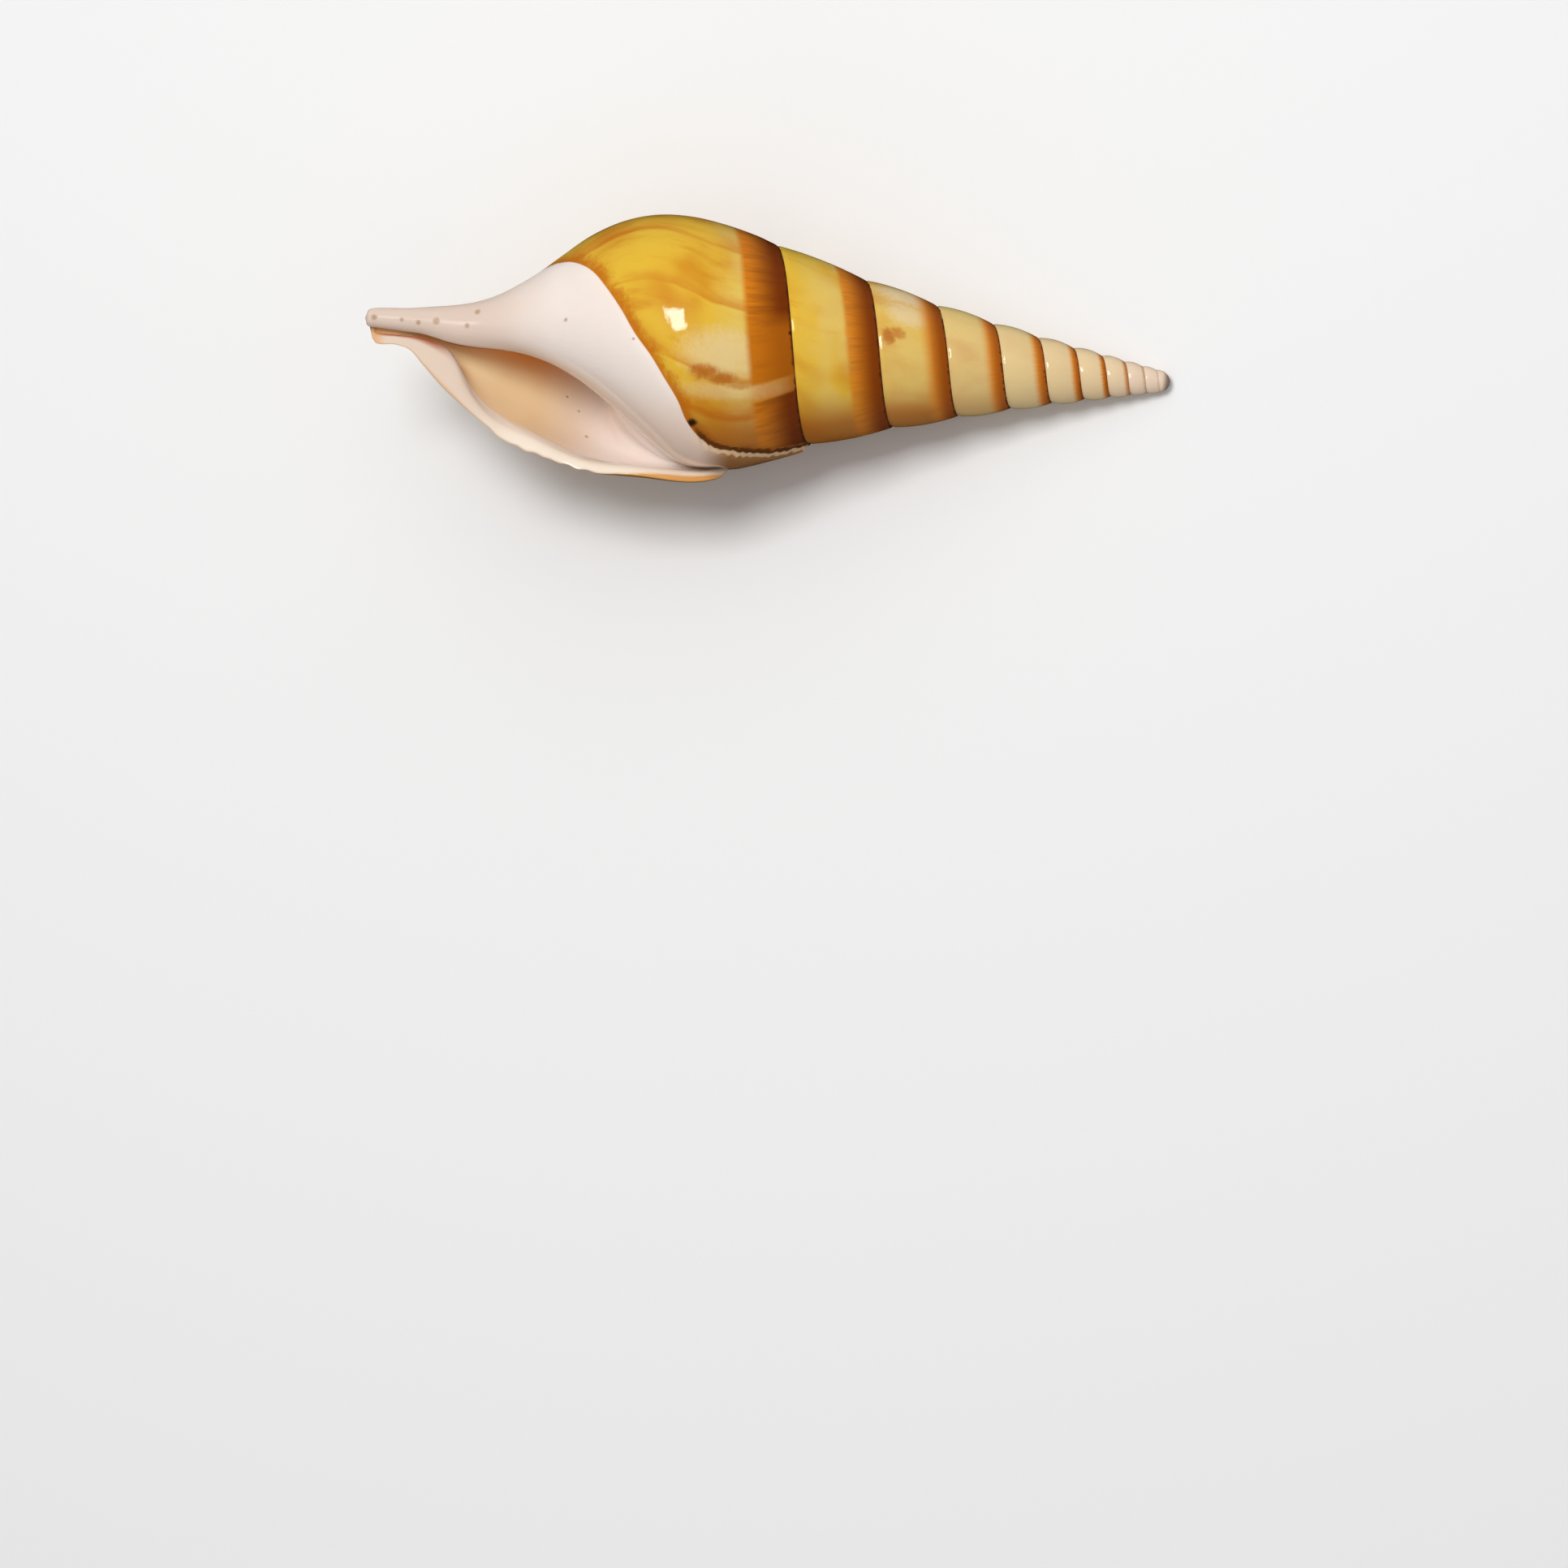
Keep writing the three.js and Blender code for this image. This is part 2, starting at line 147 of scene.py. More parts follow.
# Callus: station of its edge at a turn, on the front from behind the aperture to the top flank and round
CALLUS_EDGE = [
    (-0.5, 66), (-0.449, 75.8), (-0.429, 79.9), (-0.419, 82.9), (-0.395, 86.1), (-0.364, 88.9),
    (-0.335, 90.7), (-0.305, 93.6), (-0.28, 96), (-0.25, 99.3), (-0.214, 102.2), (-0.177, 105.1),
    (-0.138, 107.9), (-0.102, 110.7), (-0.053, 114.2), (0, 118), (0.05, 126), (0.1, 140), (0.13, 160),
]
CALLUS_HEIGHT = 0.3
CALLUS_SLOPE = (-0.1, 0.7)  # mm from its edge between which it rises
CALLUS_JAG = 0.12  # mm by which its edge strays
CALLUS_END = (147, 135)  # stations between which it thickens from the canal on
CALLUS_REAR_RISE = 1.8  # by which its rear edge is higher, as a share of its height
CALLUS_REAR = (89, 84)  # stations between which that sets in
CALLUS_REAR_TURN = (-0.36, -0.4)  # and the turns
GROOVE_DEPTH = 0.5  # of the groove along the rear edge
GROOVE_PLACE = -0.9  # mm from the edge
GROOVE_WIDTH = 0.7
GROOVE_START = (89, 86)  # stations between which it sets in
CALLUS_OFF = -20  # mm, stands for a place far from the callus
CALLUS_ON = 20  # and for one well inside it
MOUTH_BLEND = 0.05  # turns over which the relief ends beside the aperture and at the lip

# Growth lines bend: turns by which a line leads, against mm below the suture on the body whorl
LINE_BEND = [
    (0, 0.015), (5, 0.003), (9, -0.002), (13, 0.003), (18, 0.014), (26, 0.034), (31, 0.034), (42, 0.01),
]
LINE_FULL_STATION = 62  # from which the bends have their full length
LINE_LEAST_SIZE = 0.1  # and their share of it at the apex

# Mesh density
COLUMNS = 160  # in a turn
WHORL_ROWS = 16  # from suture to suture
BODY_ROWS = 110  # from there to the end of the slit
CORNER_ROWS = 10  # of those, in the corner at the rear of the aperture
CLUSTER = 0.13  # by which the rows crowd at the sutures
LIP_ROW_EASE = 0.6  # powers by which they crowd at the start of the lip
BODY_ROW_EASE = 1.25  # and of the body
RIM_ROW_EASE = 1.3  # and at the rear of the rim's inner edge
RIM_SHARES = (5, 22)  # of that edge's length, beside the rows of the whorl and of the body
SEEN_TURNS = 0.375  # of the cavity, as dense as the outside
HIDDEN_STEP = 4  # columns in a step beyond them, and in the first step behind the rim
TROUGH_ROWS = 14  # that round the bottom of the cavity's section

# Random draws
SEED = 7
WAVES = 9  # in a wobble

# Rest
REST_PITCH = math.radians(14.4)
FLAT_DEPTH = 0.35  # mm worn off where it rests


def curve_through(points):
    """A smooth curve through points, as a function of the first coordinate."""
    xs, ys = np.array(points, float).T
    slopes = np.empty_like(ys)
    slopes[1:-1] = (ys[2:] - ys[:-2]) / (xs[2:] - xs[:-2])
    slopes[0] = (ys[1] - ys[0]) / (xs[1] - xs[0])
    slopes[-1] = (ys[-1] - ys[-2]) / (xs[-1] - xs[-2])

    def value(x):
        x = np.asarray(x, float)
        i = np.clip(np.searchsorted(xs, x) - 1, 0, len(xs) - 2)
        width = xs[i + 1] - xs[i]
        s = np.clip((x - xs[i]) / width, 0, 1)
        start = ys[i] * (1 + 2 * s) * (1 - s) ** 2 + slopes[i] * width * s * (1 - s) ** 2
        end = ys[i + 1] * s * s * (3 - 2 * s) - slopes[i + 1] * width * s * s * (1 - s)
        return start + end

    return value


def lerp(a, b, share):
    return a + (b - a) * share


def smoothstep(x, low, high):
    s = np.clip((x - low) / (high - low), 0, 1)
    return s * s * (3 - 2 * s)


columella_side = curve_through(COLUMELLA_SIDE)
left_flank = curve_through(LEFT_FLANK)
lip_side = curve_through(LIP_SIDE)
lip_inner_edge = curve_through(LIP_INNER_EDGE)
callus_edge = curve_through(CALLUS_EDGE)
line_bend = curve_through(LINE_BEND)
POLE_OFFSET = POLE_TO_SUTURE * GROWTH**APEX_TURN
random = np.random.default_rng(SEED)


def wobble(lowest, highest):
    """A function of one number that wavers between about -1 and 1, from waves of random length."""
    waves = random.uniform(lowest, highest, WAVES)
    phases = random.uniform(0, 2 * math.pi, WAVES)
    return lambda x: sum(np.sin(w * x + p) for w, p in zip(waves, phases)) / math.sqrt(WAVES)


suture_chips = wobble(40, 260)
suture_drift = wobble(6, 30)
edge_ripple = wobble(0.4, 2.4)
callus_jag = wobble(0.8, 5)


def suture_station(turn):
    turn = np.asarray(turn, float)
    spiral = POLE_TO_SUTURE * GROWTH ** np.minimum(turn, 0) - POLE_OFFSET
    late = np.maximum(turn, 0)
    spiral = spiral + LAST_SUTURE_SLOPE * late - LAST_SUTURE_CURVE * late * late
    return np.where(turn <= APEX_TURN, 0, spiral)


LAST_SUTURE = float(suture_station(LIP_TURN))


def spire_radius(station):
    rounding = np.sqrt(1 - (1 - np.minimum(station / TIP_ROUNDING, 1)) ** 2)
    return (TIP_RADIUS + SPIRE_SLOPE * station + SPIRE_FLARE * station * station) * rounding


def body_radius(station, turn):
    """Radius of the body whorl, between its three known profiles."""
    s = turn / LIP_TURN
    between = (
        s * (s - 1) / 2 * columella_side(station)
        + (1 - s * s) * left_flank(station)
        + s * (s + 1) / 2 * lip_side(station)
    )
    return np.maximum(between, THINNEST)


def row_station(turn, whorl, body):
    """Station of a row: whorl runs 0 to 1 from suture to suture, then body 0 to 1 to the slit's end."""
    start = suture_station(turn)
    grown = np.clip(turn - FREE_TURN, 0, 1)
    following = np.where(turn <= FREE_TURN, suture_station(turn + 1), LAST_SUTURE + LIP_BELLY * grown)
    in_whorl = lerp(start, following, whorl ** (1 + LIP_ROW_EASE * grown))
    return np.where(body > 0, lerp(following, SLIT_END, np.maximum(body, 0) ** BODY_ROW_EASE), in_whorl)


def callus_distance(station, turn):
    """How many mm inside the edge of the callus, negative outside it."""
    ahead = 0.004
    slope = (callus_edge(turn + ahead) - callus_edge(turn - ahead)) / (2 * ahead)
    around = 2 * math.pi * np.maximum(body_radius(station, turn), 4)
    distance = (station - callus_edge(turn)) / np.sqrt(1 + (slope / around) ** 2)
    return np.where(turn < FREE_TURN, CALLUS_OFF, distance)


def relief(station, turn, below, above):
    """Fine radial relief: incised sutures, uneven growth and the callus."""
    size = np.clip(station / FULL_SIZE_STATION, LEAST_SIZE, 1)
    depth = SUTURE_DEPTH * size * (1 + SUTURE_CHIPPING * suture_chips(turn) * np.abs(suture_drift(turn)))
    width = SUTURE_WIDTH * size
    groove = np.exp(-((below / width) ** 2)) + np.exp(-((above / width) ** 2))
    uneven = UNEVENNESS * size * suture_drift(turn - line_bend(below / size))
    uneven = uneven * smoothstep(station, *UNEVEN_START) * smoothstep(station, *UNEVEN_END)
    distance = callus_distance(station, turn) + CALLUS_JAG * callus_jag(station)
    rear = smoothstep(station, *CALLUS_REAR) * smoothstep(turn, *CALLUS_REAR_TURN)
    callus = CALLUS_HEIGHT * (1 + CALLUS_REAR_RISE * rear) * smoothstep(distance, *CALLUS_SLOPE)
    callus = callus * smoothstep(station, *CALLUS_END)
    behind = np.exp(-(((distance - GROOVE_PLACE) / GROOVE_WIDTH) ** 2))
    behind = behind * smoothstep(station, *GROOVE_START)
    return callus - GROOVE_DEPTH * behind + uneven - depth * groove


def row_radius(turn, whorl, body):
    """Outer radius of a row at a turn."""
    station = row_station(turn, whorl, body)
    bulge = WHORL_BULGE * (1 - np.exp(-station / BULGE_REACH)) * 4 * whorl * (1 - whorl)
    spire = spire_radius(station) + np.maximum(bulge, 0)
    start = suture_station(turn)
    at_suture = spire_radius(start) + LIP_RISE * np.maximum(turn / LIP_TURN, 0) ** 2
    step = np.where(turn > FREE_TURN, at_suture - body_radius(start, turn), 0)
    step = step * np.exp(-(station - start) / SUTURE_STEP_REACH)
    late = body_radius(station, np.maximum(turn, FREE_TURN)) + step
    smooth = lerp(spire, late, smoothstep(turn, FREE_TURN - BODY_BLEND, FREE_TURN))
    following = np.where(turn <= FREE_TURN, suture_station(turn + 1), 1e3)
    rippled = smoothstep(turn, LIP_TURN - RIPPLE_TURNS, LIP_TURN)
    rippled = rippled * (smoothstep(station, *RIPPLE_START) - smoothstep(station, *RIPPLE_END))
    smooth = smooth + RIPPLE * rippled * edge_ripple(station)
    beside_mouth = smoothstep(turn, FREE_TURN + MOUTH_BLEND, FREE_TURN)
    beside_mouth = beside_mouth * smoothstep(body, 0, CORNER_ROWS / BODY_ROWS)
    fading = smoothstep(LIP_TURN - turn, 0, MOUTH_BLEND) * (1 - beside_mouth)
    return smooth + fading * relief(station, turn, station - start, np.abs(following - station))


def wall_thickness(turn, station):
    at_lip = lip_side(station) - lip_inner_edge(station)
    inside = lerp(WALL_THICKNESS, CANAL_THICKNESS, smoothstep(station, *CANAL_START))
    return lerp(inside, at_lip, smoothstep(turn, LIP_TURN - LIP_THICKENING, LIP_TURN))


def lip_sweep(turn, station):
    """Turns by which the wall curls forward near the rear of the lip."""
    along = smoothstep(station, *LIP_SWEEP_START) - smoothstep(station, *LIP_SWEEP_END)
    return LIP_SWEEP * along * smoothstep(turn, LIP_TURN - LIP_SWEEP_TURNS, LIP_TURN)


class Surface:
    """Vertices in the shell's own axes, and faces whose corners carry their place in the growth."""

    def __init__(self):
        self.points = np.zeros((0, 3))
        self.faces = []
        self.corners = []

    def add(self, station, radius, turn, on_wall=1.0):
        """Adds points, and returns their indices in the shape they were given."""
        station, radius, turn, on_wall = np.broadcast_arrays(station, radius, turn, on_wall)
        angle = 2 * math.pi * (turn + on_wall * lip_sweep(turn, station))
        new = np.stack([-station, radius * np.cos(angle), -radius * np.sin(angle)], axis=-1)
        first = len(self.points)
        self.points = np.concatenate([self.points, new.reshape(-1, 3)])
        return np.arange(first, len(self.points)).reshape(station.shape)

    def grid(self, index, data):
        """Faces between the neighbouring columns and rows of a grid of vertices."""
        for source, target in ((index, self.faces), (data, self.corners)):
            near, far = source[:-1], source[1:]
            quads = np.stack([far[:, :-1], far[:, 1:], near[:, 1:], near[:, :-1]], axis=2)
            target.append(quads.reshape((-1, 4) + source.shape[2:]))

    def build(self, name):
        """The mesh, with corners that coincide left out and the growth data on the others."""
        faces = np.concatenate(self.faces)
        corners = np.concatenate(self.corners)
        used, faces_left = np.unique(faces, return_inverse=True)
        points = place(self.points[used])
        polygons, data = [], []
        for face, values in zip(faces_left.reshape(faces.shape).tolist(), corners.tolist()):
            keep = [k for k in range(4) if face[k] != face[k - 1]]
            if len(set(face)) < 3:
                continue
            polygons.append([face[k] for k in keep])
            data.extend(values[k] for k in keep)
        mesh = bpy.data.meshes.new(name)
        mesh.from_pydata((points * MM).tolist(), [], polygons)
        data = np.array(data, np.float32)
        for attribute, part in (("growth", data[:, :3]), ("zone", data[:, 3:])):
            layer = mesh.attributes.new(attribute, "FLOAT_VECTOR", "CORNER")
            layer.data.foreach_set("vector", part.ravel())
        mesh.shade_smooth()
        return mesh


def growth_data(turn, below, station, callus, inside, line):
    """The six numbers that a corner carries."""
    return np.stack(np.broadcast_arrays(turn, below, station, callus, inside, line), axis=-1)


def place(points):
    """From the shell's own axes to where it lies: on its back, apex down, worn flat where it rests."""
    x, y, z = points.T
    tilted = np.stack([x * math.cos(REST_PITCH) + z * math.sin(REST_PITCH), y,
                       -x * math.sin(REST_PITCH) + z * math.cos(REST_PITCH)], axis=-1)
    low, high = tilted.min(axis=0), tilted.max(axis=0)
    box_low, box_high = (np.array(corner) / MM for corner in CAD_BOX)
    tilted[:, :2] += (box_low[:2] + box_high[:2]) / 2 - (low[:2] + high[:2]) / 2
    tilted[:, 2] = np.maximum(tilted[:, 2] - low[2] - FLAT_DEPTH, 0)
    return tilted


def grow_outside(surface):
    """The outer surface: a long strip that winds down from the apex, each turn joined to the next.

    Gives the vertices of its last free edges, on the inner side of the aperture and along the lip,
    and the rows' shares of the whorl and of the body.
    """
    last = round((LIP_TURN - APEX_TURN + 1) * COLUMNS)
    u = np.linspace(0, 1, WHORL_ROWS + 1)
    whorl = np.concatenate([u - CLUSTER * np.sin(2 * math.pi * u), np.ones(BODY_ROWS)])
    body = np.concatenate([np.zeros(WHORL_ROWS + 1), np.linspace(0, 1, BODY_ROWS + 1)[1:]])
    turn = (APEX_TURN - 1 + np.arange(last + 1) / COLUMNS)[:, None]
    station = row_station(turn, whorl, body)
    radius = row_radius(turn, whorl, body)
    below = station - suture_station(turn)
    line = turn - line_bend(below / np.clip(station / LINE_FULL_STATION, LINE_LEAST_SIZE, 1))
    data = growth_data(turn, below, station, callus_distance(station, turn), 0, line)

    index = np.zeros(station.shape, int)
    apex = surface.add(0, 0, 0).item()
    index[:, 1:] = surface.add(station[:, 1:], radius[:, 1:], turn)
    index[COLUMNS + 1:, 0] = index[1:last + 1 - COLUMNS, WHORL_ROWS]
    index[:COLUMNS + 1, 0] = apex
    index[0] = apex
    index[last, WHORL_ROWS + BODY_ROWS] = index[last - COLUMNS, WHORL_ROWS + BODY_ROWS]
    first_open = last - COLUMNS
    surface.grid(index[:first_open + 1, :WHORL_ROWS + 1], data[:first_open + 1, :WHORL_ROWS + 1])
    surface.grid(index[first_open:], data[first_open:])

    tip_turn = turn[first_open:, 0]
    ring = surface.add(TIP_STATION, TIP_SHARE * body_radius(TIP_STATION, tip_turn), tip_turn)
    ring[-1] = ring[0]
    centre = np.full(ring.shape, surface.add(LENGTH, 0, 0).item())
    tip = np.stack([index[first_open:, -1], ring, centre], axis=1)
    tip_data = np.stack([data[first_open:, -1]] * 3, axis=1)
    surface.grid(tip, tip_data)
    return index[first_open], index[last], whorl, body


def grow_rim(surface, inner_side, lip_edge, whorl, body):
    """The rounded edge of the outer lip, from the outer surface to its inner edge."""
    rows = len(lip_edge)
    along = (RIM_SHARES[0] * whorl + RIM_SHARES[1] * body) / sum(RIM_SHARES)
    share = np.linspace(0, 1, CORNER_ROWS + 1)[1:]
    station = row_station(LIP_TURN, whorl, body)[:, None]
    corner = row_station(FREE_TURN, np.ones(CORNER_ROWS), np.arange(1, CORNER_ROWS + 1) / BODY_ROWS)
    inner = np.maximum(station, lerp(corner, SLIT_END, along[:, None] ** RIM_ROW_EASE))
    radius = lerp(row_radius(LIP_TURN, whorl, body)[:, None], lip_inner_edge(inner), share)
    rounded = -RIM_ROUNDING * (1 - np.sqrt(1 - share**2)) * smoothstep(SLIT_END - station, 0, 12)
    at = lerp(station, inner, share)
    rim = np.empty((rows, CORNER_ROWS + 1), int)
    rim[:, 0] = lip_edge
    rim[:, 1:] = surface.add(at, radius, LIP_TURN + rounded)
    rim[0, 1:] = inner_side[WHORL_ROWS + 1:WHORL_ROWS + CORNER_ROWS + 1]
    rim[-1] = lip_edge[-1]
    across = np.concatenate([[0], share])
    below = np.concatenate([station, at], axis=1) - LAST_SUTURE
    at = below + LAST_SUTURE
    worn = RIM_WORN * (smoothstep(at, *RIM_WORN_START) - smoothstep(at, *RIM_WORN_END))
    callus = RIM_CALLUS * (across - worn) + RIM_CALLUS_START
    data = growth_data(LIP_TURN, np.maximum(below, RIM_BELOW), at, callus, 0, LIP_TURN)
    surface.grid(rim[::-1], data[::-1])
    return rim[:, -1], below[:, -1] + LAST_SUTURE


def inner_whorl_radius(station, turn):
    scale = GROWTH ** (turn - LIP_TURN)
    return scale * columella_side((station + POLE_OFFSET) / scale - POLE_OFFSET)


def outer_wall_radius(station, turn):
    if turn > FREE_TURN:
        return body_radius(station, turn) - wall_thickness(turn, station)
    return np.minimum(spire_radius(station), inner_whorl_radius(station, turn + 1)) - WALL_THICKNESS


def corner_station():
    """Station of the corner at the rear of the aperture."""
    return float(row_station(FREE_TURN, 1.0, CORNER_ROWS / BODY_ROWS))


def cavity_reach(turn):
    """Stations between which the cavity is open at a turn."""
    back = LIP_TURN - turn
    middle = (CAVITY_MIDDLE + POLE_OFFSET) * GROWTH**-back - POLE_OFFSET
    gap = lerp(MOUTH_GAP, DEEP_GAP, smoothstep(back, *GAP_TURNS))
    stations = np.arange(middle % SCAN_STEP, SLIT_END, SCAN_STEP)
    closed = outer_wall_radius(stations, turn) - inner_whorl_radius(stations, turn) <= gap
    closed |= stations <= suture_station(turn) + 1
    before = stations[closed & (stations < middle)]
    after = stations[closed & (stations > middle)]
    floor = corner_station() + FLOOR_LENGTH * (1 - math.exp(-back / FLOOR_TURNS))
    first = before[-1] + SCAN_STEP if len(before) else stations[0]
    last = after[0] - SCAN_STEP if len(after) else stations[-1]
    return lerp(max(first, floor), first, smoothstep(back, *FLOOR_END)), last


def grow_cavity(surface, inner_side, lip_loop, lip_stations):
    """The cavity: loops between the outer wall and the whorl inside it, from the lip to a blind end."""
    slit_row = WHORL_ROWS + BODY_ROWS
    corner_row = WHORL_ROWS + CORNER_ROWS
    rows = np.arange(slit_row - 1, corner_row, -1)
    inner_stations = row_station(FREE_TURN, np.ones(len(rows)), (rows - WHORL_ROWS) / BODY_ROWS)
    start = corner_station()
    stations = np.concatenate([lip_stations, inner_stations])
    share = np.clip((stations - start) / (SLIT_END - start), 0, 1)
    ease = np.sqrt(1 - (1 - np.linspace(0, 1, TROUGH_ROWS)) ** 2) / 2
    side = np.concatenate([[0.5], np.ones(slit_row - 1), [0.5], np.zeros(len(rows))])
    side[:TROUGH_ROWS] = 0.5 + ease
    side[-TROUGH_ROWS:] = 0.5 - ease[::-1]
    loops = [np.concatenate([lip_loop, inner_side[rows]])]
    backs = [0.0]
    at = [stations]
    while backs[-1] < CAVITY_TURNS:
        dense = 0 < backs[-1] < SEEN_TURNS
        back = backs[-1] + (1 if dense else HIDDEN_STEP) / COLUMNS
        turn = LIP_TURN - back
        first, last = cavity_reach(turn)
        to_end = (CAVITY_TURNS - back) / CAVITY_END_NARROWING
        width = math.sqrt(max(1 - (1 - min(to_end + 0.02, 1)) ** 2, 0))
        station = lerp((first + last) / 2, lerp(first, last, share), lerp(0.5, 1, width))
        inside = inner_whorl_radius(station, turn)
        outside = np.maximum(outer_wall_radius(station, turn), inside)
        loops.append(surface.add(station, lerp(inside, outside, 0.5 + (side - 0.5) * width), turn, side))
        backs.append(back)
        at.append(station)
    index = np.array(loops)
    index = np.concatenate([index, index[:, :1]], axis=1)
    at = np.array(at)
    at = np.concatenate([at, at[:, :1]], axis=1)
    side = np.append(side, side[0])
    back = np.array(backs)[:, None]
    # The inside's share starts at the lip, and sooner on the outer wall than on the whorl inside
    inside = lerp(0.05, 0.0, side) + lerp(smoothstep(back, 0.0, 0.12), smoothstep(back, 0.0, 0.05), side)
    data = growth_data(LIP_TURN - back, at - LAST_SUTURE, at, CALLUS_ON, inside, LIP_TURN - back)
    surface.grid(index, data)
    surface.points = np.concatenate([surface.points, surface.points[loops[-1]].mean(axis=0)[None]])
    end = np.stack([index[-1], np.full(index.shape[1], len(surface.points) - 1)])
    surface.grid(end, np.stack([data[-1], data[-1]]))


def grow_shell():
    surface = Surface()
    inner_side, lip_edge, whorl, body = grow_outside(surface)
    lip_loop, lip_stations = grow_rim(surface, inner_side, lip_edge, whorl, body)
    grow_cavity(surface, inner_side, lip_loop, lip_stations)
    return surface.build("shell_skin")


class Shade:
    """Short names for the nodes of a material."""

    def __init__(self, material):
        material.use_nodes = True
        self.tree = material.node_tree
        self.surface = self.tree.nodes["Principled BSDF"]

    def put(self, socket, value):
        if hasattr(value, "is_output"):
            self.tree.links.new(value, socket)
        else:
            socket.default_value = value

    def math(self, operation, a, b=0.0, c=0.0):
        node = self.tree.nodes.new("ShaderNodeMath")
        node.operation = operation
        for socket, value in zip(node.inputs, (a, b, c)):
            self.put(socket, value)
        return node.outputs[0]

    def add(self, a, b):
        return self.math("ADD", a, b)

    def times(self, a, b):
        return self.math("MULTIPLY", a, b)

    def attribute(self, name):
        node = self.tree.nodes.new("ShaderNodeAttribute")
        node.attribute_name = name
        split = self.tree.nodes.new("ShaderNodeSeparateXYZ")
        self.put(split.inputs[0], node.outputs["Vector"])
        return split.outputs

    def vector(self, x, y, z=0.0):
        """A place for a noise, where z sets that noise apart from the others."""
        node = self.tree.nodes.new("ShaderNodeCombineXYZ")
        for socket, value in zip(node.inputs, (x, y, z)):
            self.put(socket, value)
        return node.outputs[0]

    def noise(self, vector, detail=2.0, roughness=0.5):
        node = self.tree.nodes.new("ShaderNodeTexNoise")
        self.put(node.inputs["Vector"], vector)
        for name, value in (("Scale", 1.0), ("Detail", detail), ("Roughness", roughness)):
            node.inputs[name].default_value = value
        return node.outputs[0]

    def step(self, value, low, high):
        """0 below low and 1 above high, smooth between; falling where low is the larger."""
        node = self.tree.nodes.new("ShaderNodeMapRange")
        node.interpolation_type = "SMOOTHSTEP"
        rising = low < high
        limits = (low, high, 0.0, 1.0) if rising else (high, low, 1.0, 0.0)
        self.put(node.inputs["Value"], value)
        for name, limit in zip(("From Min", "From Max", "To Min", "To Max"), limits):
            node.inputs[name].default_value = limit
        return node.outputs[0]

    def mix(self, share, a, b):
        node = self.tree.nodes.new("ShaderNodeMix")
        node.data_type = "RGBA"
        self.put(node.inputs["Factor"], share)
        self.put(node.inputs[6], a)
        self.put(node.inputs[7], b)
        return node.outputs[2]

    def bump(self, normal, height, strength):
        node = self.tree.nodes.new("ShaderNodeBump")
        node.inputs["Strength"].default_value = strength
        node.inputs["Distance"].default_value = BUMP_DISTANCE
        self.put(node.inputs["Height"], height)
        self.put(normal, node.outputs[0])


def colour(red, green, blue):
    """A colour from its 0 to 255 screen values."""
    shares = [value / 255 for value in (red, green, blue)]
    linear = [c / 12.92 if c <= 0.04 else ((c + 0.055) / 1.055) ** 2.4 for c in shares]
    return (*linear, 1.0)


BUMP_DISTANCE = 0.4 * MM
STREAK_BUMP = 0.12
SKIN_BUMP = 0.06

# Growth marks on the last whorl: line, half width and strength, from and to mm below the suture
GROWTH_MARKS = [
    (-0.105, 0.012, 0.75, 3, 36), (-0.203, 0.006, 0.6, 0, 34), (-0.304, 0.006, 0.7, 0, 27),
    (-0.345, 0.006, 0.45, 8, 22), (-0.362, 0.012, 0.8, 0, 24), (-0.02, 0.01, 0.6, 4, 30),
    (0.09, 0.012, 0.6, 2, 40), (0.2, 0.008, 0.5, 0, 36), (0.33, 0.014, 0.7, 4, 40),
    (0.43, 0.01, 0.6, 2, 46),
]
# Blotches: turn, mm below the suture, half size in turns and mm, strength
BROWN_BLOTCHES = [
    (-0.293, 16.6, 0.009, 2.4, 0.9), (-0.301, 13.4, 0.008, 2.6, 0.9), (-0.309, 10.4, 0.006, 2.4, 0.6),
    (-2.205, 10.9, 0.016, 1.1, 0.9), (-2.195, 9.2, 0.012, 1.3, 0.7),
]
PALE_BLOTCHES = [
    (-2.07, 6.3, 0.034, 5.0, 0.75), (-2.14, 6.8, 0.03, 3.4, 0.6), (-0.318, 11, 0.012, 9, 0.35),
    (-0.27, 12.5, 0.03, 7.0, 0.55),
]
SUTURE_PIT = (-0.228, 0.1, 0.0035, 0.5, 1.0)
# A pit at the edge of the callus: turn, station, half size in turns and mm, strength
CALLUS_PIT = (-0.369, 87.7, 0.0058, 0.85, 1.0)
# Specks on the callus and the rim: turn, station, radius in mm, and the radius of the shell there
SPECKS = [
    (-0.2257, 136.7, 0.55, 2.2), (-0.265, 140.0, 0.4, 2), (-0.24, 143.1, 0.35, 2),
    (-0.11, 129.2, 0.45, 3.2), (-0.2535, 130.9, 0.4, 2.6), (-0.2327, 148.3, 0.5, 1.9),
    (-0.2238, 112.5, 0.3, 11.7), (-0.2571, 99.6, 0.24, 19), (0.396, 107.6, 0.36, 23),
    (0.34, 111.9, 0.22, 22), (0.356, 109.5, 0.2, 22),
]
SPECK_STRENGTH = 0.6
# The band below the suture: mm wide at turn 0, and how fast that grows
BAND_WIDTH = 9.4
BAND_GROWTH = 0.33
# The scar on the last whorl, from and to these growth lines, and the faded band beside it
SCAR = (-0.305, -0.338)
SCAR_SHARE = 0.7
FADED = (-0.2, -0.34)

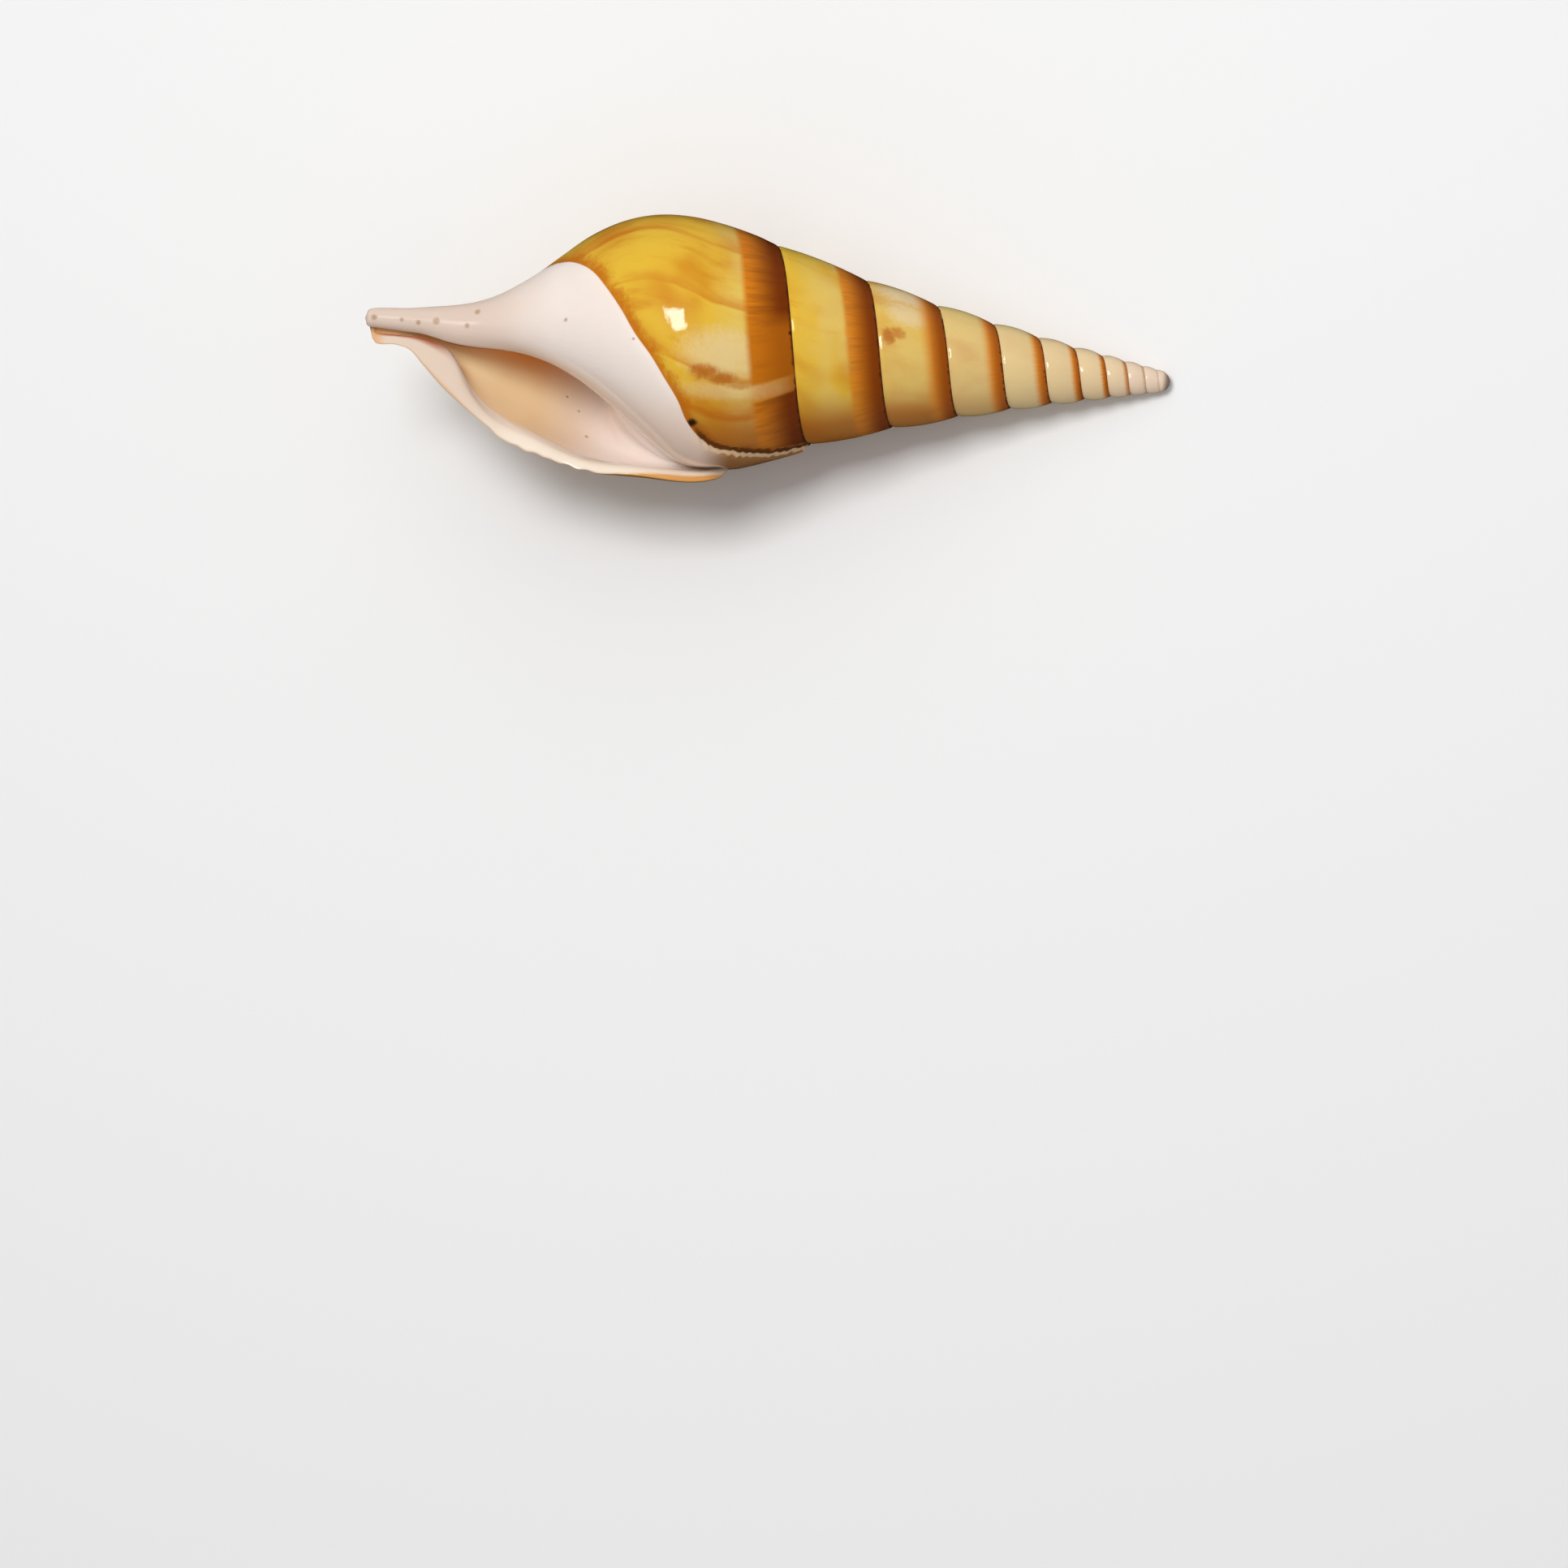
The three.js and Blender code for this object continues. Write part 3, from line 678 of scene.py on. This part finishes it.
# Colours of the whorls
YELLOW = colour(228, 184, 58)
YOUNG_YELLOW = colour(218, 186, 124)
ORANGE = colour(202, 118, 10)
YOUNG_ORANGE = colour(212, 168, 92)
CREAM = colour(226, 200, 118)
BLOTCH_CREAM = colour(232, 212, 172)
MARK = colour(200, 108, 8)
REAR_ORANGE = colour(196, 116, 34)
BLOTCH_BROWN = colour(184, 104, 22)
YOUNG_CREAM = colour(230, 204, 160)
# Painted shade: brown for the lower flank of each whorl, where the light falls off
UNDERSIDE_SHADE = colour(178, 96, 14)
APEX_CREAM = colour(234, 210, 186)
WORN_TIP = colour(150, 128, 112)
SUTURE_LINE = colour(70, 34, 20)
SUTURE_PIT_BROWN = colour(44, 22, 12)

# Colours of the band below the suture
BAND_FRONT = colour(222, 130, 24)
BAND_REAR = colour(120, 50, 2)
BAND_STREAK = colour(100, 42, 4)
YOUNG_BAND_FRONT = colour(222, 140, 48)
YOUNG_BAND_REAR = colour(180, 94, 18)
FADED_BAND = colour(192, 108, 12)

# Colours of the callus, the rim and the inside
WHITE = (colour(250, 238, 230), colour(244, 225, 214))
# Painted shade: a darker, warmer tint of the callus towards the bottom of the view
LOWER_CALLUS_SHADE = colour(236, 204, 182)
CANAL_BEIGE = colour(212, 190, 174)
# Painted shade: darker brown for the recess at the rear corner of the aperture
REAR_CORNER_SHADE = colour(164, 112, 62)
RIM = (colour(224, 203, 184), colour(240, 226, 208))
RIM_EDGE = colour(222, 160, 96)
SLIT_BROWN = colour(166, 70, 8)
CANAL_TIP = colour(220, 150, 62)
INSIDE = (colour(253, 224, 180), colour(250, 214, 164))
SHADOWED_INSIDE = colour(248, 156, 54)
SPECK_BROWN = colour(158, 112, 58)
LEDGE = colour(236, 206, 168)

# Colours of the whorl along the edge of the callus
EDGING = colour(192, 102, 8)
# Dirt and painted shadow in the groove behind the callus's rear edge
HOLLOW_SHADE_AND_DIRT = colour(78, 42, 14)
RIM_OCHRE = colour(222, 164, 92)
CALLUS_PIT_BROWN = colour(48, 24, 10)


def spots(s, turn, along, marks, ragged):
    """How much a place lies in any of a few ragged oval marks: turn, place, half sizes and strength."""
    most = 0.0
    for at_turn, at, half_turns, half, strength in marks:
        across = s.times(s.add(turn, -at_turn), 1 / half_turns)
        lengthwise = s.times(s.add(along, -at), 1 / half)
        squares = s.math("MULTIPLY_ADD", across, across, s.times(lengthwise, lengthwise))
        inside = s.times(s.step(s.add(squares, ragged), 2.4, 0.0), strength)
        most = s.math("MAXIMUM", most, inside)
    return most


def ochre(s, turn, below, line, young):
    """Ochre of the whorls with growth marks and cream patches, paler towards the apex; painted shade on
    their lower flanks.
    """
    cloud = s.noise(s.vector(s.times(turn, 9.0), s.times(below, 0.11)), 3.0)
    bend = s.times(s.add(s.noise(s.vector(s.times(below, 0.12), s.times(line, 5.0), 2.0)), -0.5), 0.016)
    bent = s.add(line, bend)
    streak = s.noise(s.vector(s.times(bent, 26.0), s.times(below, 0.05), 3.0), 5.0, 0.66)
    crumbs = s.noise(s.vector(s.times(turn, 110.0), s.times(below, 1.1), 5.0), 6.0, 0.7)
    ragged = s.times(s.add(crumbs, -0.5), 3.4)
    marks = 0.0
    for at, half, strength, first, last in GROWTH_MARKS:
        offset = s.add(bent, -at)
        within = s.times(s.step(below, first - 1, first + 3), s.step(below, last + 2, last - 4))
        near = s.times(s.step(offset, -0.7 * half, 0.0), s.step(offset, 3.5 * half, -0.4 * half))
        share = s.times(s.times(near, within), strength)
        marks = s.math("MAXIMUM", marks, s.times(share, s.step(streak, 0.25, 0.6)))
    yellow = s.mix(young, YELLOW, YOUNG_YELLOW)
    orange = s.mix(young, ORANGE, YOUNG_ORANGE)
    patch = s.noise(s.vector(s.times(bent, 8.0), s.times(below, 0.06), 11.0), 2.0)
    base = s.mix(s.times(s.step(patch, 0.44, 0.66), 0.7), yellow, orange)
    base = s.mix(s.times(s.step(streak, 0.48, 0.74), 0.62), base, orange)
    cream = s.times(s.step(cloud, 0.3, 0.6), s.step(below, 16.0, 9.0))
    base = s.mix(s.times(cream, 0.6), base, CREAM)
    base = s.mix(spots(s, turn, below, PALE_BLOTCHES, ragged), base, BLOTCH_CREAM)
    base = s.mix(marks, base, MARK)
    rear = s.times(s.step(line, -0.345, -0.4), s.step(line, -0.5, -0.49))
    base = s.mix(s.times(rear, 0.7), base, REAR_ORANGE)
    base = s.mix(spots(s, turn, below, BROWN_BLOTCHES, ragged), base, BLOTCH_BROWN)
    base = s.mix(s.step(turn, -1.6, -6.6), base, YOUNG_CREAM)
    # Painted shade: the lower flank of each whorl, as seen from the camera, is darkened to brown
    underside_shade = s.math("ABSOLUTE", s.add(s.math("FRACT", turn), -0.5))
    underside_shade = s.times(s.step(underside_shade, 0.19, 0.09), s.step(young, 1.0, 0.3))
    underside_shade = s.times(underside_shade, s.math("MULTIPLY_ADD", s.step(turn, -0.7, -1.2), 0.25, 0.6))
    base = s.mix(underside_shade, base, UNDERSIDE_SHADE)
    return s.mix(s.step(turn, -6.2, -9.0), base, APEX_CREAM), cloud, streak


def sutural_band(s, base, turn, below, line):
    """The brown band below each suture, broken by an old scar on the last whorl."""
    fine = s.noise(s.vector(s.times(line, 110.0), s.times(below, 0.1), 7.0), 3.0, 0.6)
    growth = s.math("POWER", math.e, s.times(s.math("MINIMUM", turn, -0.2), BAND_GROWTH))
    width = s.times(growth, BAND_WIDTH)
    across = s.math("DIVIDE", s.add(below, s.times(s.add(fine, -0.5), 0.7)), width)
    brown = s.mix(s.step(across, 1.0, 0.15), BAND_FRONT, BAND_REAR)
    brown = s.mix(s.times(s.step(fine, 0.42, 0.72), 0.4), brown, BAND_STREAK)
    tan = s.mix(s.step(across, 0.9, 0.2), YOUNG_BAND_FRONT, YOUNG_BAND_REAR)
    shade = s.mix(s.step(turn, -0.3, -4.2), brown, tan)
    last_whorl = s.step(line, -0.5, -0.45)
    faded = s.times(s.step(line, FADED[0], FADED[0] - 0.04), s.step(line, FADED[1], FADED[1] + 0.01))
    shade = s.mix(s.times(s.times(faded, last_whorl), 0.6), shade, FADED_BAND)
    frayed = s.add(line, s.times(s.add(fine, -0.5), 0.006))
    scar = s.times(s.step(frayed, SCAR[0], SCAR[0] - 0.007), s.step(line, SCAR[1], SCAR[1] + 0.005))
    scar = s.times(scar, s.step(across, -0.2, 0.9))
    crisp = s.step(across, 1.06, 0.88)
    soft = s.step(across, 1.2, 0.55)
    softer = s.step(turn, -0.9, -1.9)
    band = s.math("MULTIPLY_ADD", softer, s.math("SUBTRACT", soft, crisp), crisp)
    band = s.times(band, s.step(turn, -9.4, -6.2))
    band = s.times(band, s.math("SUBTRACT", 1.0, s.times(scar, SCAR_SHARE)))
    return s.mix(band, base, shade), fine


def suture_line(s, base, turn, below):
    """The dark line in the suture, with its chips and one pit, fainter on the early whorls."""
    chips = s.noise(s.vector(s.times(turn, 60.0), s.times(below, 0.6), 13.0), 3.0, 0.6)
    line_edge = s.add(below, s.times(s.add(chips, -0.5), -1.3))
    early = s.step(turn, -7.4, -3.4)
    share = s.times(s.step(line_edge, 0.42, 0.12), s.math("MULTIPLY_ADD", early, 0.65, 0.2))
    base = s.mix(share, base, SUTURE_LINE)
    return s.mix(spots(s, turn, below, [SUTURE_PIT], 0.0), base, SUTURE_PIT_BROWN)


def glazed(s, turn, station, callus, inside, cloud):
    """White of the callus and the rim, beige of the inside, painted shade on both, and the specks on
    them.
    """
    glaze = s.mix(cloud, *WHITE)
    # Painted shade: the callus darkens and warms towards the bottom of the view, but not beside the
    # aperture
    mouth_side = s.times(s.step(turn, -0.44, -0.495), s.step(station, 90.0, 97.0))
    lower_callus_shade = s.times(s.step(turn, -0.3, -0.42), s.math("SUBTRACT", 1.0, mouth_side))
    glaze = s.mix(s.times(lower_callus_shade, 0.8), glaze, LOWER_CALLUS_SHADE)
    glaze = s.mix(s.times(s.step(station, 112.0, 130.0), 0.85), glaze, CANAL_BEIGE)
    # Painted shade: the callus and the inside darken to brown in the rear corner of the aperture
    glaze = s.mix(s.times(s.step(station, 87.0, 80.0), s.step(turn, 0.4, 0.3)), glaze, REAR_CORNER_SHADE)
    rim = s.step(turn, 0.48, 0.5)
    glaze = s.mix(s.times(rim, 0.85), glaze, s.mix(s.step(station, 131.0, 120.0), *RIM))
    glaze = s.mix(s.times(s.times(rim, s.step(callus, 0.45, 0.1)), 0.45), glaze, RIM_EDGE)
    flank = s.times(s.step(turn, -0.455, -0.485), s.step(station, 114.0, 124.0))
    brink = s.times(s.times(rim, s.step(callus, 1.5, 2.0)), s.step(station, 131.0, 138.0))
    glaze = s.mix(s.times(s.math("MAXIMUM", flank, brink), 0.9), glaze, SLIT_BROWN)
    glaze = s.mix(s.times(s.times(rim, s.step(station, 145.5, 148.0)), 0.55), glaze, CANAL_TIP)

    shadowed = s.times(s.step(turn, 0.36, 0.27), s.step(station, 97.0, 106.0))
    deep = s.mix(shadowed, s.mix(cloud, *INSIDE), SHADOWED_INSIDE)
    pale = s.mix(s.times(s.step(inside, 0.1, 1.0), s.step(station, 103.0, 120.0)), glaze, deep)
    crumbs = s.noise(s.vector(s.times(turn, 60.0), s.times(station, 3.0), 19.0), 3.0)
    ragged = s.times(s.add(crumbs, -0.5), 3.2)
    specks = [(at_turn, at, half / (math.tau * radius), half, SPECK_STRENGTH)
              for at_turn, at, half, radius in SPECKS]
    return s.mix(spots(s, turn, station, specks, ragged), pale, SPECK_BROWN), rim


def callus_border(s, base, pale, rim, turn, station, callus):
    """Joins the whorls to the callus: a darker edging, dirt and painted shadow in the groove behind its
    rear edge, and its ledge.
    """
    grain = s.noise(s.vector(s.times(turn, 45.0), s.times(station, 0.5), 17.0), 4.0, 0.65)
    edging = s.step(s.add(callus, s.times(s.add(grain, -0.5), 5.0)), -2.8, -0.2)
    base = s.mix(s.times(edging, 0.8), base, EDGING)
    rear = s.times(s.step(station, 88.0, 86.0), s.step(turn, 0.4, 0.3))
    # Dirt and painted shadow darken the groove behind the callus's rear edge
    groove_shade_and_dirt = s.times(s.step(s.add(callus, s.times(s.add(grain, -0.5), 1.2)), -1.3, -0.5), rear)
    base = s.mix(s.times(groove_shade_and_dirt, 0.85), base, HOLLOW_SHADE_AND_DIRT)
    base = s.mix(s.times(rim, 0.8), base, RIM_OCHRE)
    pale = s.mix(s.times(s.times(s.step(callus, 0.75, 0.4), rear), 0.7), pale, LEDGE)
    base = s.mix(spots(s, turn, station, [CALLUS_PIT], 0.0), base, CALLUS_PIT_BROWN)
    return s.mix(s.step(callus, -0.12, 0.12), base, pale)


def shell_material():
    material = bpy.data.materials.new("glossy_shell")
    s = Shade(material)
    turn, below, station = s.attribute("growth")
    callus, inside, line = s.attribute("zone")
    young = s.step(turn, -0.9, -4.6)

    base, cloud, streak = ochre(s, turn, below, line, young)
    base, fine = sutural_band(s, base, turn, below, line)
    base = suture_line(s, base, turn, below)
    base = s.mix(s.step(station, 1.6, 0.4), base, WORN_TIP)
    pale, rim = glazed(s, turn, station, callus, inside, cloud)
    base = callus_border(s, base, pale, rim, turn, station, callus)

    inputs = s.surface.inputs
    s.put(inputs["Base Color"], base)
    inputs["Roughness"].default_value = 0.5
    inputs["Specular IOR Level"].default_value = 0.1
    s.put(inputs["Coat Weight"], s.math("MULTIPLY_ADD", s.step(station, 108.0, 122.0), -0.75, 0.9))
    inputs["Coat Roughness"].default_value = 0.05
    inputs["Coat IOR"].default_value = 1.5
    inputs["Subsurface Weight"].default_value = 0.2
    inputs["Subsurface Radius"].default_value = (1.0, 0.62, 0.4)
    inputs["Subsurface Scale"].default_value = 0.003
    s.bump(inputs["Normal"], s.math("MULTIPLY_ADD", streak, 0.6, s.times(fine, 0.9)), STREAK_BUMP)
    skin = s.noise(s.vector(s.times(turn, 140.0), station, 23.0), 3.0, 0.6)
    s.bump(inputs["Coat Normal"], skin, SKIN_BUMP)
    return material


def plain_material(name, tint, roughness):
    material = bpy.data.materials.new(name)
    material.use_nodes = True
    surface = material.node_tree.nodes["Principled BSDF"]
    surface.inputs["Base Color"].default_value = tint
    surface.inputs["Roughness"].default_value = roughness
    return material


def link(name, data):
    piece = bpy.data.objects.new(name, data)
    bpy.context.scene.collection.objects.link(piece)
    return piece


def softbox(name, centre, target, size, watts, mirrored):
    """A square lamp that faces the target, and may be left out of the reflections."""
    lamp = bpy.data.lights.new(name, "AREA")
    lamp.size = size
    lamp.energy = watts
    piece = link(name, lamp)
    piece.location = centre
    piece.rotation_euler = (centre - target).to_track_quat("Z", "Y").to_euler()
    piece.visible_glossy = mirrored


# View: straight onto the axis of the shell, which runs down to the right in the photograph
IMAGE = 1932
PIXEL = 0.1508 * MM  # of the shell
APEX_PIXEL = (1441.5, 471.0)  # tip of the apex in the photograph, from its top left corner
APEX_VERTEX = 0  # and in the mesh
AXIS_SLOPE = math.radians(4.58)
LENS = 200
SENSOR = 36


def add_camera(apex):
    """A long lens far off, whose axis passes the middle of the frame in the plane of the shell's axis."""
    to_apex = Vector((math.cos(REST_PITCH), 0, -math.sin(REST_PITCH)))
    to_flank = Vector((0, 1, 0))
    out = to_apex.cross(to_flank)
    right = to_apex * math.cos(AXIS_SLOPE) + to_flank * math.sin(AXIS_SLOPE)
    up = to_flank * math.cos(AXIS_SLOPE) - to_apex * math.sin(AXIS_SLOPE)
    across, down = (IMAGE / 2 - at for at in APEX_PIXEL)
    middle = apex + right * across * PIXEL - up * down * PIXEL
    distance = IMAGE * PIXEL * LENS / SENSOR
    data = bpy.data.cameras.new("camera")
    data.lens = LENS
    data.sensor_width = SENSOR
    data.clip_end = 10
    camera = link("camera", data)
    turned = Matrix((right, up, out)).transposed().to_4x4()
    camera.matrix_world = Matrix.Translation(middle + out * distance) @ turned
    bpy.context.scene.camera = camera
    return out


shell = link("shell_skin", grow_shell())
shell.data.materials.append(shell_material())
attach(shell, "root")
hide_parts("shell")

FLOOR_HALF = 1.5
PAPER = (0.86, 0.86, 0.86, 1)
floor_mesh = bpy.data.meshes.new("floor")
floor_corners = [(x * FLOOR_HALF, y * FLOOR_HALF, 0) for x, y in ((-1, -1), (1, -1), (1, 1), (-1, 1))]
floor_mesh.from_pydata(floor_corners, [], [(0, 1, 2, 3)])
floor = link("floor", floor_mesh)
floor_mesh.materials.append(plain_material("paper", PAPER, 0.9))
floor.visible_glossy = False

view = add_camera(shell.data.vertices[APEX_VERTEX].co.copy())
LIGHT_LEAN = math.radians(16)
LIGHT_SIDE = math.radians(19)
SHELL_MIDDLE = Vector((0, 0, 0.022))
to_canal = Vector((-math.cos(REST_PITCH), 0, math.sin(REST_PITCH)))
key_way = view + Vector((0, 1, 0)) * math.tan(LIGHT_LEAN) + to_canal * math.tan(LIGHT_SIDE)
key_way.normalize()
# Lamps: name, place seen from the shell, size, watts, and whether the lamp shows as a highlight
LAMPS = [
    ("key", key_way * 1.1, 0.36, 7.0, True),
    ("top", Vector((0.1, 0.9, 1.0)), 1.3, 4.4, False),
    ("overhead", view * 1.5, 2.2, 6.2, False),
    ("fill", Vector((-0.2, -1.0, 0.5)), 1.2, 1.3, False),
]
for lamp_name, offset, size, watts, mirrored in LAMPS:
    softbox(lamp_name, SHELL_MIDDLE + offset, SHELL_MIDDLE, size, watts, mirrored)

WORLD_STRENGTH = 0.2
world = bpy.data.worlds.new("studio")
world.use_nodes = True
backdrop = world.node_tree.nodes["Background"]
backdrop.inputs["Color"].default_value = (1, 1, 1, 1)
backdrop.inputs["Strength"].default_value = WORLD_STRENGTH
world.cycles_visibility.glossy = False
bpy.context.scene.world = world
bpy.context.scene.view_settings.view_transform = "Standard"
